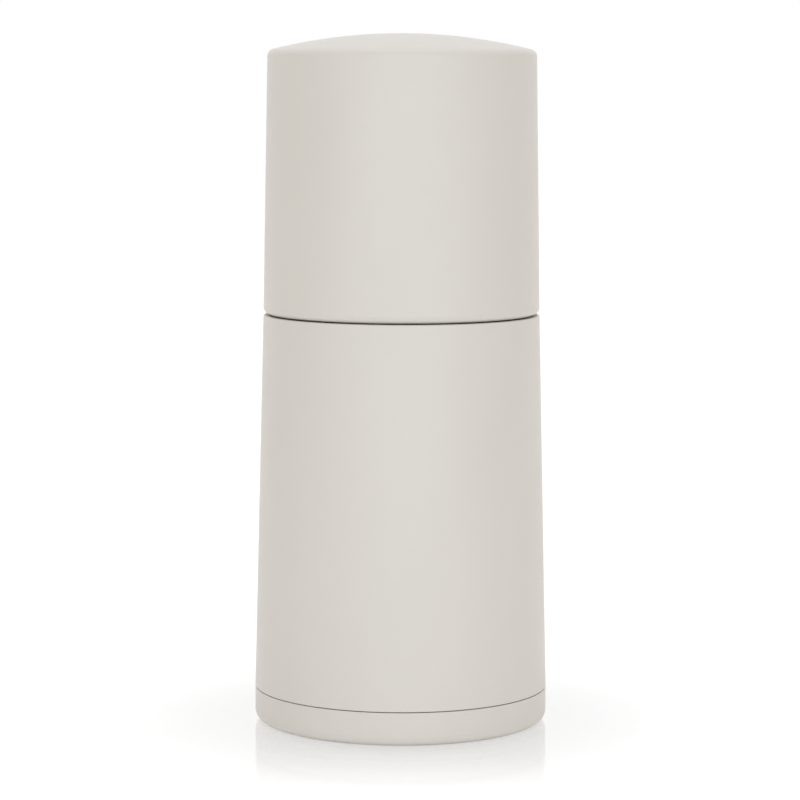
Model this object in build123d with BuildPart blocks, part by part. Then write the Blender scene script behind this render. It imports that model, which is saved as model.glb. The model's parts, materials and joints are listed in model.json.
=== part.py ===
from build123d import *
from math import sqrt
import os

# A hand-held mill for sesame and small spices. The head is twisted on the body: it turns a steel
# shaft and a ceramic rotor inside a ceramic stator, and the ground seeds drop through the foot.
# The mill stands on a base cap. The head lifts off for filling.
# Millimetres. +Z is up. The origin is the centre of the face that the base cap rests on.

# ---------------------------------------------------------------- outline
base_diameter = 57.0        # base cap, and the foot of the body above it
body_taper = 3.4            # by which the body's shoulder is narrower than its foot
head_taper = 1.7            # by which the dome's rim is narrower than the shoulder
cap_height = 6.6            # base cap, from the table to its seam
body_height = 72.7
head_side_height = 50.75    # head, from its seam to the rim of the dome
dome_rise = 3.3
cap_seam = 0.15             # open line between base cap and body
head_seam = 0.2             # open line between body and head

# ---------------------------------------------------------------- edges
cap_foot_radius = 2.1       # rounding of the edge that stands on the table
seam_edge_radius = 0.12     # on both sides of the lower seam
body_top_radius = 0.3
head_foot_radius = 1.3
rim_radius = 1.5            # between the head's side and its dome

# ---------------------------------------------------------------- walls and fits
body_wall = 2.0
head_wall = 2.0
slip_fit = 0.15             # radial, between moulded pieces that push together
running_fit = 0.1           # radial, between moulded pieces that turn on each other
shaft_fit = 0.05            # radial, round the steel shaft
seat_gap = 0.05             # between faces that turn or slide on each other
ring_gap = 0.04             # between an O-ring and the wall it seals on

# ---------------------------------------------------------------- base cap
cap_floor = 2.0
cap_side_fit = 0.3          # radial, round the collar
cap_recess_depth = 0.5      # hollow of the underside
cap_rest_width = 4.0        # flat ring that the mill stands on
seal_thickness = 0.5
seal_width = 1.7
seal_gap = 0.1              # between the seal and the collar's foot
cap_corner_radius = 0.4     # between the cap's wall and floor, inside

# ---------------------------------------------------------------- collar at the body's foot
collar_height = 13.4
collar_wall = 1.7
flange_thickness = 2.0      # of the collar's and of the burr housing's flange
ledge_width = 1.4           # ledge inside the body shell that the collar pulls against
ledge_height = 2.0
key_count = 3
key_width = 2.0
key_height = 3.5
key_depth = 1.0
key_angle = 90.0
collar_lead_in = 0.4
scale_dots = 6              # raised dots under the collar's flange, from coarse to fine
scale_pitch = 60.0          # degrees
coarse_dot = 1.1
fine_dot = 0.4
dot_height = 0.3

# ---------------------------------------------------------------- grind dial
dial_floor_gap = 1.2        # above the base cap's floor
dial_radius = 9.5
dial_disc = 2.6
dial_boss_radius = 7.9
dial_boss = 2.0
grip_height = 2.2
grip_length = 15.0
grip_width = 3.2
scallop_count = 16
scallop_radius = 1.1
thread_diameter = 3.9       # metric 4, drawn as its outer cylinder
thread_pitch = 0.7
dial_range = 300.0          # degrees, coarse to fine
nut_across_flats = 7.0
nut_thickness = 3.0

# ---------------------------------------------------------------- burrs
rotor_height = 12.0
fine_height = 5.2           # lower zone of fine teeth, on the rotor
fine_gap = 0.25             # crest to crest at the finest setting
fine_depth = 0.7
rotor_fine_teeth = 40
stator_fine_teeth = 44
ridge_count = 9
ridge_depth = 1.9
ridge_turn = 34.0           # degrees that a ridge of the rotor turns from foot to top
rib_count = 12
rib_depth = 1.3
rib_land = 0.45             # share of the pitch that a rib's crest covers
ridge_land = 0.35
stator_drop = 0.7           # how far the rotor's foot stands below the stator's
stator_head_room = 2.0      # from the rotor's top to the bridge, at the coarsest setting
stator_wall = 2.4           # from the rotor's crests to the stator's outside, at the foot
throat_wall = 3.8           # stator, where the seeds enter between the burrs
hub_across_flats = 11.0
hub_ledge = 0.25            # of the recess in the rotor's top, beyond the hub's corners
hub_flange = 1.0
recess_depth = 5.5
recess_wall = 1.1           # between the recess and the roots of the ridges
underside_depth = 2.5       # ring hollow in the rotor's foot
underside_wall = 0.9        # left beside that hollow

# ---------------------------------------------------------------- burr housing and shaft
housing_wall = 1.3
bridge_thickness = 4.0
bridge_hub_radius = 5.6
arm_count = 3
arm_width = 3.4
bush_radius = 4.2
bush_flange_radius = 5.2
bush_flange = 0.8
circlip_thickness = 0.9
circlip_width = 1.9
groove_depth = 0.5
lip_height = 0.8            # housing below the circlip's groove
washer_thickness = 0.5
washer_radius = 5.1
shaft_square = 6.0
journal_diameter = 5.6
lower_square = 3.9
thread_reach = 0.4          # how far the shaft's tip stands out below the nut
shaft_tip_gap = 2.0         # from the shaft's top to the top of its socket
shaft_edge_radius = 0.5
shaft_top_chamfer = 0.45
thread_chamfer = 0.4
spring_wire = 0.8
spring_radius = 4.9         # to the middle of the wire
spring_turns = 3.5

# ---------------------------------------------------------------- hopper
hopper_gap = 1.5            # radial, from the hopper to the collar
hopper_wall = 2.0
neck_rise = 8.9             # above the body
funnel_rise = 6.0
funnel_wall = 1.6
funnel_gap = 0.1            # above the bridge
funnel_ring = 1.0           # wall of the ring under the funnel
rest_flange = 1.2           # flange that hangs the hopper in the body
rest_flange_width = 1.25    # land of the body shell that is left outside that flange
flange_proud = 0.05         # of the body's top
skirt_depth = 3.0           # ring under the flange that centres the hopper in the body
skirt_wall = 1.0
neck_edge_radius = 0.6
neck_groove_drop = 3.5      # below the neck's top
ring_wire = 1.0
collar_ring_wire = 1.3
collar_groove_rise = 2.2    # above the collar's foot

# ---------------------------------------------------------------- screws
screw_count = 3
screw_angle = 30.0
screw_shank = 2.8
screw_length = 12.0
screw_head = 4.6
screw_head_height = 1.6
screw_bite = 0.05           # radial play of a screw in its boss
screw_hole_play = 0.2       # radial play in the piece that it clamps
pilot_spare = 1.0           # depth of a boss's hole past the screw's tip
boss_radius = 2.6
boss_height = 14.0
boss_gap = 0.35             # radial, from the bosses to the burr housing
head_screw_gap = 1.7        # radial, from the screws' heads to the spill lip
head_boss_radius = 3.2
head_rib_width = 1.6

# ---------------------------------------------------------------- head core
glide_thickness = 1.0
glide_width = 1.3
web_gap = 1.5               # between the neck's top and the core's web
web_thickness = 2.0
core_rise = 3.0             # skirt above the web
lip_depth = 3.5             # spill lip that hangs in the hopper's mouth
lip_thickness = 1.0
lip_gap = 0.4
tongue_width = 0.5          # ring on the neck sleeve that holds it to the core
tongue_height = 1.0
tongue_inset = 0.5          # from the sleeve's bore
socket_radius = 6.6
socket_flange_radius = 9.0
socket_flange = 1.2
socket_height = 22.0
socket_slot = 1.2
socket_slot_depth = 13.0
clip_wire = 1.0
clip_groove_depth = 0.8
clip_drop = 6.0             # below the socket's top
clip_opening = 40.0         # degrees
gusset_count = 6
gusset_width = 1.4
gusset_angle = 30.0

# ---------------------------------------------------------------- levels, from the table up
cap_top = cap_height
body_foot = cap_top + cap_seam
body_top = body_foot + body_height
head_foot = body_top + head_seam
head_rim = head_foot + head_side_height
head_crest = head_rim + dome_rise

collar_foot = cap_floor + seal_thickness + seal_gap
collar_top = collar_foot + collar_height
dial_foot = cap_floor + dial_floor_gap
dial_disc_foot = dial_foot + grip_height
dial_disc_top = dial_disc_foot + dial_disc
dial_top = dial_disc_top + dial_boss
rotor_foot = dial_top + seat_gap
rotor_top = rotor_foot + rotor_height
stator_foot = rotor_foot + stator_drop
stator_top = rotor_top + stator_head_room
groove_foot = stator_foot - circlip_thickness - seat_gap
housing_foot = groove_foot - lip_height
housing_top = stator_top + bridge_thickness
flange_foot = housing_foot + lip_height
flange_top = flange_foot + flange_thickness
collar_flange_foot = flange_foot - flange_thickness
thrust_foot = housing_top + bush_flange + seat_gap
shaft_shoulder = thrust_foot + washer_thickness + seat_gap
spring_washer_foot = stator_top - seat_gap - washer_thickness
recess_floor = rotor_top - recess_depth
hub_top = recess_floor + hub_flange
funnel_foot = housing_top + funnel_gap
funnel_top = funnel_foot + funnel_rise
neck_top = body_top + neck_rise
rest_flange_top = body_top + flange_proud
rest_flange_foot = rest_flange_top - rest_flange
glide_foot = rest_flange_top
core_foot = glide_foot + glide_thickness + seat_gap
web_foot = neck_top + web_gap
web_top = web_foot + web_thickness
socket_top = web_top + socket_height
shaft_top = socket_top - shaft_tip_gap
nut_foot = dial_top - nut_thickness
shaft_tip = nut_foot - thread_reach

# ---------------------------------------------------------------- radii, from the outside in
base_radius = base_diameter / 2
shoulder_radius = base_radius - body_taper / 2
crown_radius = shoulder_radius - head_taper / 2


def body_radius(height):
    """Outer radius of the tapered body."""
    share = (height - body_foot) / body_height
    return base_radius + (shoulder_radius - base_radius) * share


def head_radius(height):
    """Outer radius of the tapered head."""
    share = (height - head_foot) / head_side_height
    return shoulder_radius + (crown_radius - shoulder_radius) * share


ledge_bore = body_radius(collar_top) - body_wall
collar_radius = ledge_bore - slip_fit
collar_bore = collar_radius - collar_wall
hopper_radius = collar_bore - hopper_gap
hopper_bore = hopper_radius - hopper_wall
core_bore = hopper_radius + running_fit
screw_circle = collar_bore - slip_fit - boss_radius
housing_radius = screw_circle - boss_radius - boss_gap
housing_bore = housing_radius - housing_wall
stator_radius = housing_bore - seat_gap
throat_radius = stator_radius - throat_wall
rotor_foot_radius = stator_radius - stator_wall
recess_radius = hub_across_flats / sqrt(3) + hub_ledge
rotor_top_radius = recess_radius + recess_wall + ridge_depth

burr_travel = thread_pitch * dial_range / 360
rotor_slope = (rotor_foot_radius - rotor_top_radius) / rotor_height
rest_gap = fine_gap + burr_travel * rotor_slope


def rotor_crest(height):
    """Radius of the rotor's tooth crests, at rest."""
    return rotor_foot_radius - (height - rotor_foot) * rotor_slope


def toothed(crest, root, count, land=0.0, turn=0.0):
    """Corners of a ring of teeth, pointed or with flat crests that cover the share land."""
    pitch = 360 / count
    steps = [(crest, 0.0), (root, 0.5)]
    if land:
        steps = [(crest, -land / 2), (crest, land / 2), (root, 0.5 - land / 4), (root, 0.5 + land / 4)]
    return [
        Vector(radius, 0).rotate(Axis.Z, turn + (tooth + share) * pitch)
        for tooth in range(count)
        for radius, share in steps
    ]


def corner(profile, radius, height):
    """The corner of a profile nearest to that radius and height."""
    return profile.vertices().sort_by_distance((radius, height, 0))[0]


def flat_ring(outer, inner, foot, thickness):
    """A washer-like ring that lies at the height foot."""
    with BuildPart() as ring:
        with BuildSketch(Plane.XY.offset(foot)):
            Circle(outer)
            Circle(inner, mode=Mode.SUBTRACT)
        extrude(amount=thickness)
    return ring


def wire_ring(radius, height, wire, arc=360.0):
    """A ring of round wire, with that radius to the wire's middle."""
    with BuildPart() as ring:
        with BuildSketch(Plane.XZ):
            with Locations((radius, height)):
                Circle(wire / 2)
        revolve(axis=Axis.Z, revolution_arc=arc)
    return ring


def screw_set(circle, seat, first_angle):
    """Pan-head screws on a circle that point up, with their heads under the height seat."""
    with BuildPart() as screw:
        with BuildSketch(Plane.XZ) as profile:
            with BuildLine():
                Polyline(
                    (0, seat - screw_head_height),
                    (screw_head / 2, seat - screw_head_height),
                    (screw_head / 2, seat),
                    (screw_shank / 2, seat),
                    (screw_shank / 2, seat + screw_length - screw_shank / 2),
                    (0, seat + screw_length),
                    close=True,
                )
            make_face()
            fillet(corner(profile, screw_head / 2, seat - screw_head_height), screw_head_height / 2)
        revolve(axis=Axis.Z)
        with BuildSketch(Plane.XY.offset(seat - screw_head_height)):
            Rectangle(screw_head / 2, screw_head / 8)
            Rectangle(screw_head / 8, screw_head / 2)
        extrude(amount=screw_head_height / 2, mode=Mode.SUBTRACT)
    with BuildPart() as group:
        with PolarLocations(circle, screw_count, first_angle):
            add(screw.part)
    return group


# ---------------------------------------------------------------- base cap
cap_bore = collar_radius + cap_side_fit
rest_outer = base_radius - cap_foot_radius
rest_inner = rest_outer - cap_rest_width
seal_radius = cap_bore - cap_corner_radius - slip_fit

with BuildPart() as base_cap:
    with BuildSketch(Plane.XZ) as profile:
        with BuildLine():
            Polyline(
                (0, cap_recess_depth),
                (rest_inner, cap_recess_depth),
                (rest_inner, 0),
                (base_radius, 0),
                (base_radius, cap_top),
                (cap_bore, cap_top),
                (cap_bore, cap_floor),
                (0, cap_floor),
                close=True,
            )
        make_face()
        fillet(corner(profile, base_radius, 0), cap_foot_radius)
        fillet(corner(profile, base_radius, cap_top), seam_edge_radius)
        fillet(corner(profile, cap_bore, cap_floor), cap_corner_radius)
    revolve(axis=Axis.Z)

cap_seal = flat_ring(seal_radius, seal_radius - seal_width, cap_floor, seal_thickness)

# ---------------------------------------------------------------- body shell
ledge_top = collar_top + ledge_height
ledge_radius = ledge_bore - ledge_width
land_radius = shoulder_radius - rest_flange_width
mouth_radius = body_radius(rest_flange_foot) - body_wall

with BuildPart() as body_shell:
    with BuildSketch(Plane.XZ) as profile:
        with BuildLine():
            Polyline(
                (base_radius - body_wall, body_foot),
                (base_radius, body_foot),
                (shoulder_radius, body_top),
                (land_radius, body_top),
                (land_radius, rest_flange_foot),
                (mouth_radius, rest_flange_foot),
                (body_radius(ledge_top) - body_wall, ledge_top),
                (ledge_radius, ledge_top),
                (ledge_radius, collar_top),
                (ledge_bore, collar_top),
                close=True,
            )
        make_face()
        fillet(corner(profile, base_radius, body_foot), seam_edge_radius)
        fillet(corner(profile, shoulder_radius, body_top), body_top_radius)
    revolve(axis=Axis.Z)
    with BuildSketch(Plane.XY.offset(collar_top - key_height)):
        with PolarLocations(ledge_bore - key_depth, key_count, key_angle):
            Rectangle(key_depth + body_wall / 2, key_width, align=(Align.MIN, Align.CENTER))
    extrude(amount=key_height)

# ---------------------------------------------------------------- collar
collar_ring_radius = cap_bore - ring_gap - collar_ring_wire / 2
collar_ring_height = collar_foot + collar_groove_rise
collar_groove_radius = collar_ring_radius - collar_ring_wire / 2 - seat_gap

with BuildPart() as base_collar:
    with BuildSketch(Plane.XZ) as profile:
        with BuildLine():
            Polyline(
                (collar_bore, collar_foot),
                (collar_radius, collar_foot),
                (collar_radius, collar_top),
                (collar_bore, collar_top),
                (collar_bore, flange_foot),
                (housing_radius + slip_fit, flange_foot),
                (housing_radius + slip_fit, collar_flange_foot),
                (collar_bore, collar_flange_foot),
                close=True,
            )
        make_face()
        chamfer(corner(profile, collar_radius, collar_foot), collar_lead_in)
        with Locations((collar_radius, collar_ring_height)):
            Rectangle(
                2 * (collar_radius - collar_groove_radius),
                collar_ring_wire + 2 * slip_fit,
                mode=Mode.SUBTRACT,
            )
    revolve(axis=Axis.Z)
    with BuildSketch(Plane.XY.offset(collar_top - key_height - slip_fit)):
        with PolarLocations(ledge_bore - key_depth - slip_fit, key_count, key_angle):
            Rectangle(2 * body_wall, key_width + 2 * slip_fit, align=(Align.MIN, Align.CENTER))
    extrude(amount=key_height + slip_fit, mode=Mode.SUBTRACT)
    with BuildSketch(Plane.XY.offset(collar_flange_foot)):
        with PolarLocations(screw_circle, screw_count, screw_angle):
            Circle(screw_shank / 2 + screw_hole_play)
    extrude(amount=flange_thickness, mode=Mode.SUBTRACT)
    for step in range(scale_dots):
        with BuildSketch(Plane.XY.offset(collar_flange_foot)):
            with PolarLocations(screw_circle, 1, step * scale_pitch):
                Circle(coarse_dot - (coarse_dot - fine_dot) * step / (scale_dots - 1))
        extrude(amount=-dot_height)

collar_oring = wire_ring(collar_ring_radius, collar_ring_height, collar_ring_wire)

# ---------------------------------------------------------------- hopper
neck_ring_radius = core_bore - ring_gap - ring_wire / 2
neck_ring_height = neck_top - neck_groove_drop
neck_groove_radius = neck_ring_radius - ring_wire / 2 - seat_gap
skirt_radius = mouth_radius - slip_fit

with BuildPart() as hopper:
    with BuildSketch(Plane.XZ) as profile:
        with BuildLine():
            Polyline(
                (hopper_bore, flange_top),
                (hopper_radius, flange_top),
                (hopper_radius, neck_top),
                (hopper_bore, neck_top),
                close=True,
            )
        make_face()
        fillet(corner(profile, hopper_radius, neck_top), neck_edge_radius)
        with Locations((hopper_radius, neck_ring_height)):
            Rectangle(
                2 * (hopper_radius - neck_groove_radius),
                ring_wire + 2 * slip_fit,
                mode=Mode.SUBTRACT,
            )
        with BuildLine():
            Polyline(
                (hopper_radius, rest_flange_foot),
                (skirt_radius - skirt_wall, rest_flange_foot),
                (skirt_radius - skirt_wall, rest_flange_foot - skirt_depth),
                (skirt_radius, rest_flange_foot - skirt_depth),
                (skirt_radius, rest_flange_foot),
                (land_radius - slip_fit, rest_flange_foot),
                (land_radius - slip_fit, rest_flange_top),
                (hopper_radius, rest_flange_top),
                close=True,
            )
        make_face()
    revolve(axis=Axis.Z)
    with BuildSketch(Plane.XY.offset(flange_top)):
        with PolarLocations(screw_circle, screw_count, screw_angle):
            Circle(boss_radius)
    extrude(amount=boss_height)
    with BuildSketch(Plane.XY.offset(flange_top)):
        with PolarLocations(screw_circle, screw_count, screw_angle):
            Circle(screw_shank / 2 + screw_bite)
    extrude(amount=screw_length - 2 * flange_thickness + pilot_spare, mode=Mode.SUBTRACT)

funnel_radius = hopper_bore - slip_fit
funnel_ring_bore = housing_radius + slip_fit
funnel_ring_radius = funnel_ring_bore + funnel_ring
funnel_ring_foot = flange_top + boss_height + seat_gap


def funnel_under(radius):
    """Height of the sloping underside of the funnel."""
    share = (radius - throat_radius - funnel_wall) / (funnel_radius - throat_radius - funnel_wall)
    return funnel_foot + share * (funnel_rise - funnel_wall)


with BuildPart() as funnel:
    with BuildSketch(Plane.XZ):
        with BuildLine():
            Polyline(
                (funnel_radius, funnel_top),
                (throat_radius, funnel_foot),
                (throat_radius + funnel_wall, funnel_foot),
                (funnel_ring_bore, funnel_under(funnel_ring_bore)),
                (funnel_ring_bore, funnel_ring_foot),
                (funnel_ring_radius, funnel_ring_foot),
                (funnel_ring_radius, funnel_under(funnel_ring_radius)),
                (funnel_radius, funnel_top - funnel_wall),
                close=True,
            )
        make_face()
    revolve(axis=Axis.Z)

neck_oring = wire_ring(neck_ring_radius, neck_ring_height, ring_wire)
glide_ring = flat_ring(
    hopper_radius + slip_fit + glide_width, hopper_radius + slip_fit, glide_foot, glide_thickness
)

# ---------------------------------------------------------------- burr housing
groove_radius = housing_bore + groove_depth

with BuildPart() as burr_housing:
    with BuildSketch(Plane.XZ):
        with BuildLine():
            Polyline(
                (housing_bore, housing_foot),
                (housing_radius, housing_foot),
                (housing_radius, flange_foot),
                (collar_bore - slip_fit, flange_foot),
                (collar_bore - slip_fit, flange_top),
                (housing_radius, flange_top),
                (housing_radius, housing_top),
                (throat_radius, housing_top),
                (throat_radius, stator_top),
                (housing_bore, stator_top),
                (housing_bore, stator_foot),
                (groove_radius, stator_foot),
                (groove_radius, groove_foot),
                (housing_bore, groove_foot),
                close=True,
            )
        make_face()
    revolve(axis=Axis.Z)
    with BuildSketch(Plane.XY.offset(stator_top)):
        Circle(bridge_hub_radius)
        with PolarLocations(0, arm_count, screw_angle):
            Rectangle(throat_radius + housing_wall, arm_width, align=(Align.MIN, Align.CENTER))
        Circle(bush_radius + shaft_fit, mode=Mode.SUBTRACT)
    extrude(amount=bridge_thickness)
    with BuildSketch(Plane.XY.offset(flange_foot)):
        with PolarLocations(screw_circle, screw_count, screw_angle):
            Circle(screw_shank / 2 + screw_hole_play)
    extrude(amount=flange_thickness, mode=Mode.SUBTRACT)

with BuildPart() as shaft_bush:
    with BuildSketch(Plane.XY.offset(stator_top)):
        Circle(bush_radius)
    extrude(amount=bridge_thickness)
    with BuildSketch(Plane.XY.offset(housing_top)):
        Circle(bush_flange_radius)
    extrude(amount=bush_flange)
    with BuildSketch(Plane.XY.offset(stator_top)):
        Circle(journal_diameter / 2 + shaft_fit)
    extrude(amount=bridge_thickness + bush_flange, mode=Mode.SUBTRACT)

with BuildPart() as stator_circlip:
    with BuildSketch(Plane.XZ):
        with Locations((groove_radius - seat_gap, stator_foot)):
            Rectangle(circlip_width, circlip_thickness, align=Align.MAX)
    revolve(axis=Axis.Z, revolution_arc=360 - clip_opening / 2)

housing_screws = screw_set(screw_circle, collar_flange_foot, screw_angle)

# ---------------------------------------------------------------- burrs
fine_top = rotor_foot + fine_height

with BuildPart() as stator_burr:
    with BuildSketch(Plane.XY.offset(stator_foot)):
        Circle(stator_radius)
    extrude(amount=stator_top - stator_foot)
    for height in (stator_foot, fine_top):
        crest = rotor_crest(height) + rest_gap
        with BuildSketch(Plane.XY.offset(height)):
            Polygon(*toothed(crest, crest + fine_depth, stator_fine_teeth), align=None)
    loft(ruled=True, mode=Mode.SUBTRACT)
    for height, crest in ((fine_top, rotor_crest(fine_top) + rest_gap), (stator_top, throat_radius)):
        with BuildSketch(Plane.XY.offset(height)):
            Polygon(*toothed(crest, crest + rib_depth, rib_count, rib_land), align=None)
    loft(ruled=True, mode=Mode.SUBTRACT)

with BuildPart() as rotor_burr:
    for height, turn in ((rotor_foot, 0.0), (fine_top, ridge_turn * fine_height / rotor_height)):
        crest = rotor_crest(height)
        with BuildSketch(Plane.XY.offset(height)):
            Polygon(*toothed(crest, crest - fine_depth, rotor_fine_teeth, turn=turn), align=None)
    loft(ruled=True)
    for height, turn in ((fine_top, 0.0), (rotor_top, ridge_turn)):
        crest = rotor_crest(height)
        with BuildSketch(Plane.XY.offset(height)):
            Polygon(*toothed(crest, crest - ridge_depth, ridge_count, ridge_land, turn), align=None)
    loft(ruled=True)
    with BuildSketch(Plane.XY.offset(rotor_foot)):
        RegularPolygon(hub_across_flats / 2 + slip_fit, 6, major_radius=False)
    extrude(amount=rotor_height, mode=Mode.SUBTRACT)
    with BuildSketch(Plane.XY.offset(recess_floor)):
        Circle(recess_radius)
    extrude(amount=recess_depth, mode=Mode.SUBTRACT)
    with BuildSketch(Plane.XY.offset(rotor_foot)):
        Circle(rotor_crest(rotor_foot + underside_depth) - fine_depth - underside_wall)
        Circle(dial_boss_radius + underside_wall, mode=Mode.SUBTRACT)
    extrude(amount=underside_depth, mode=Mode.SUBTRACT)

with BuildPart() as rotor_hub:
    with BuildSketch(Plane.XY.offset(rotor_foot + slip_fit)):
        RegularPolygon(hub_across_flats / 2, 6, major_radius=False)
    extrude(amount=recess_floor - rotor_foot - slip_fit)
    with BuildSketch(Plane.XY.offset(recess_floor)):
        Circle(recess_radius - slip_fit)
    extrude(amount=hub_flange)
    with BuildSketch(Plane.XY.offset(rotor_foot)):
        Rectangle(lower_square + 2 * shaft_fit, lower_square + 2 * shaft_fit)
    extrude(amount=hub_top - rotor_foot, mode=Mode.SUBTRACT)

# ---------------------------------------------------------------- grind dial
with BuildPart() as grind_dial:
    with BuildSketch(Plane.XY.offset(dial_disc_foot)):
        Circle(dial_radius)
        with PolarLocations(dial_radius + scallop_radius / 2, scallop_count):
            Circle(scallop_radius, mode=Mode.SUBTRACT)
    extrude(amount=dial_disc)
    with BuildSketch(Plane.XY.offset(dial_disc_top)):
        Circle(dial_boss_radius)
    extrude(amount=dial_boss)
    with BuildSketch(Plane.XY.offset(dial_foot)):
        SlotOverall(grip_length, grip_width)
        with Locations((grip_length / 2 - grip_width, 0)):
            RegularPolygon(grip_width, 3)
    extrude(amount=grip_height)
    with BuildSketch(Plane.XY.offset(nut_foot)):
        RegularPolygon(nut_across_flats / 2 + shaft_fit, 6, major_radius=False)
    extrude(amount=nut_thickness, mode=Mode.SUBTRACT)
    with BuildSketch(Plane.XY.offset(nut_foot)):
        Circle(thread_diameter / 2 + slip_fit)
    extrude(amount=shaft_tip - nut_foot - burr_travel - seat_gap, mode=Mode.SUBTRACT)

with BuildPart() as dial_nut:
    with BuildSketch(Plane.XY.offset(nut_foot)):
        RegularPolygon(nut_across_flats / 2, 6, major_radius=False)
        Circle(thread_diameter / 2 + shaft_fit, mode=Mode.SUBTRACT)
    extrude(amount=nut_thickness - seat_gap)

# ---------------------------------------------------------------- shaft, washers and spring
lower_square_foot = dial_top + burr_travel + 2 * seat_gap
journal_foot = spring_washer_foot - washer_thickness

with BuildPart() as drive_shaft:
    with BuildSketch(Plane.XY.offset(shaft_tip)):
        Circle(thread_diameter / 2)
    extrude(amount=lower_square_foot - shaft_tip)
    with BuildSketch(Plane.XY.offset(lower_square_foot)):
        Rectangle(lower_square, lower_square)
    extrude(amount=journal_foot - lower_square_foot)
    with BuildSketch(Plane.XY.offset(journal_foot)):
        Circle(journal_diameter / 2)
    extrude(amount=shaft_shoulder - journal_foot)
    with BuildSketch(Plane.XY.offset(shaft_shoulder)):
        RectangleRounded(shaft_square, shaft_square, shaft_edge_radius)
    extrude(amount=shaft_top - shaft_shoulder)
    chamfer(faces().sort_by(Axis.Z)[-1].edges(), shaft_top_chamfer)
    chamfer(faces().sort_by(Axis.Z)[0].edges(), thread_chamfer)

washer_bore = journal_diameter / 2 + shaft_fit
thrust_washer = flat_ring(washer_radius, washer_bore, thrust_foot, washer_thickness)
spring_washer = flat_ring(washer_radius, washer_bore, spring_washer_foot, washer_thickness)

spring_height = spring_washer_foot - hub_top
with BuildPart() as burr_spring:
    with BuildLine():
        turns = Helix(
            pitch=spring_height / spring_turns,
            height=spring_height,
            radius=spring_radius,
            center=(0, 0, hub_top),
        )
    with BuildSketch(Plane(origin=turns @ 0, z_dir=turns % 0)):
        Circle(spring_wire / 2)
    sweep(path=turns, is_frenet=True)
    split(bisect_by=Plane.XY.offset(hub_top), keep=Keep.TOP)
    split(bisect_by=Plane.XY.offset(spring_washer_foot), keep=Keep.BOTTOM)

# ---------------------------------------------------------------- head shell
dome_radius = (crown_radius**2 + dome_rise**2) / (2 * dome_rise)
inner_dome_radius = dome_radius - head_wall
inner_crown_radius = crown_radius - head_wall
inner_rim = head_crest - dome_radius + sqrt(inner_dome_radius**2 - inner_crown_radius**2)
core_crown = web_top + core_rise
lip_radius = hopper_bore - lip_gap
lip_bore = lip_radius - lip_thickness
head_screw_circle = lip_bore - head_screw_gap - screw_head / 2

with BuildPart() as head_cavity:
    with BuildSketch(Plane.XZ):
        with BuildLine():
            Polyline(
                (0, head_crest - head_wall),
                (0, head_foot),
                (shoulder_radius - head_wall, head_foot),
                (inner_crown_radius, inner_rim),
            )
            ThreePointArc(
                (inner_crown_radius, inner_rim),
                (
                    inner_crown_radius / 2,
                    head_crest - dome_radius + sqrt(inner_dome_radius**2 - inner_crown_radius**2 / 4),
                ),
                (0, head_crest - head_wall),
            )
        make_face()
    revolve(axis=Axis.Z)
    with BuildSketch(Plane.XY.offset(web_top)):
        with PolarLocations(head_screw_circle, screw_count):
            Circle(head_boss_radius)
    extrude(amount=head_crest - web_top, mode=Mode.SUBTRACT)
    with BuildSketch(Plane.XY.offset(core_crown + seat_gap)):
        with PolarLocations(head_screw_circle, screw_count):
            Rectangle(shoulder_radius, head_rib_width, align=(Align.MIN, Align.CENTER))
    extrude(amount=head_crest - core_crown, mode=Mode.SUBTRACT)

with BuildPart() as head_shell:
    with BuildSketch(Plane.XZ) as profile:
        with BuildLine():
            Polyline(
                (0, head_crest),
                (0, head_foot),
                (shoulder_radius, head_foot),
                (crown_radius, head_rim),
            )
            ThreePointArc(
                (crown_radius, head_rim),
                (
                    crown_radius / 2,
                    head_crest - dome_radius + sqrt(dome_radius**2 - crown_radius**2 / 4),
                ),
                (0, head_crest),
            )
        make_face()
        fillet(corner(profile, shoulder_radius, head_foot), head_foot_radius)
        fillet(corner(profile, crown_radius, head_rim), rim_radius)
    revolve(axis=Axis.Z)
    add(head_cavity.part, mode=Mode.SUBTRACT)
    with BuildSketch(Plane.XY.offset(web_top)):
        with PolarLocations(head_screw_circle, screw_count):
            Circle(screw_shank / 2 + screw_bite)
    extrude(amount=screw_length - web_thickness + pilot_spare, mode=Mode.SUBTRACT)

# ---------------------------------------------------------------- head core and neck sleeve
tongue_radius = core_bore + tongue_inset + tongue_width
socket_hex = socket_radius + slip_fit


def core_radius(height):
    """Outer radius of the core and of the neck sleeve, inside the head shell."""
    return head_radius(height) - head_wall - slip_fit


with BuildPart() as head_core:
    with BuildSketch(Plane.XZ):
        with BuildLine():
            Polyline(
                (0, web_foot),
                (core_radius(web_foot), web_foot),
                (core_radius(core_crown), core_crown),
                (core_bore, core_crown),
                (core_bore, web_top),
                (0, web_top),
                close=True,
            )
        make_face()
    revolve(axis=Axis.Z)
    with BuildSketch(Plane.XY.offset(web_foot)):
        Circle(lip_radius)
        Circle(lip_bore, mode=Mode.SUBTRACT)
    extrude(amount=-lip_depth)
    with BuildSketch(Plane.XY.offset(web_foot)):
        Circle(tongue_radius + seat_gap)
        Circle(tongue_radius - tongue_width - seat_gap, mode=Mode.SUBTRACT)
    extrude(amount=tongue_height, mode=Mode.SUBTRACT)
    with BuildSketch(Plane.XY.offset(web_foot)):
        RegularPolygon(socket_hex + slip_fit, 6, major_radius=False)
        with PolarLocations(head_screw_circle, screw_count):
            Circle(screw_shank / 2 + screw_hole_play)
    extrude(amount=web_thickness, mode=Mode.SUBTRACT)
    with BuildSketch(Plane.XY.offset(web_top)):
        with PolarLocations(socket_hex, gusset_count, gusset_angle):
            Rectangle(core_bore - socket_hex + slip_fit, gusset_width, align=(Align.MIN, Align.CENTER))
    extrude(amount=core_rise)

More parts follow.
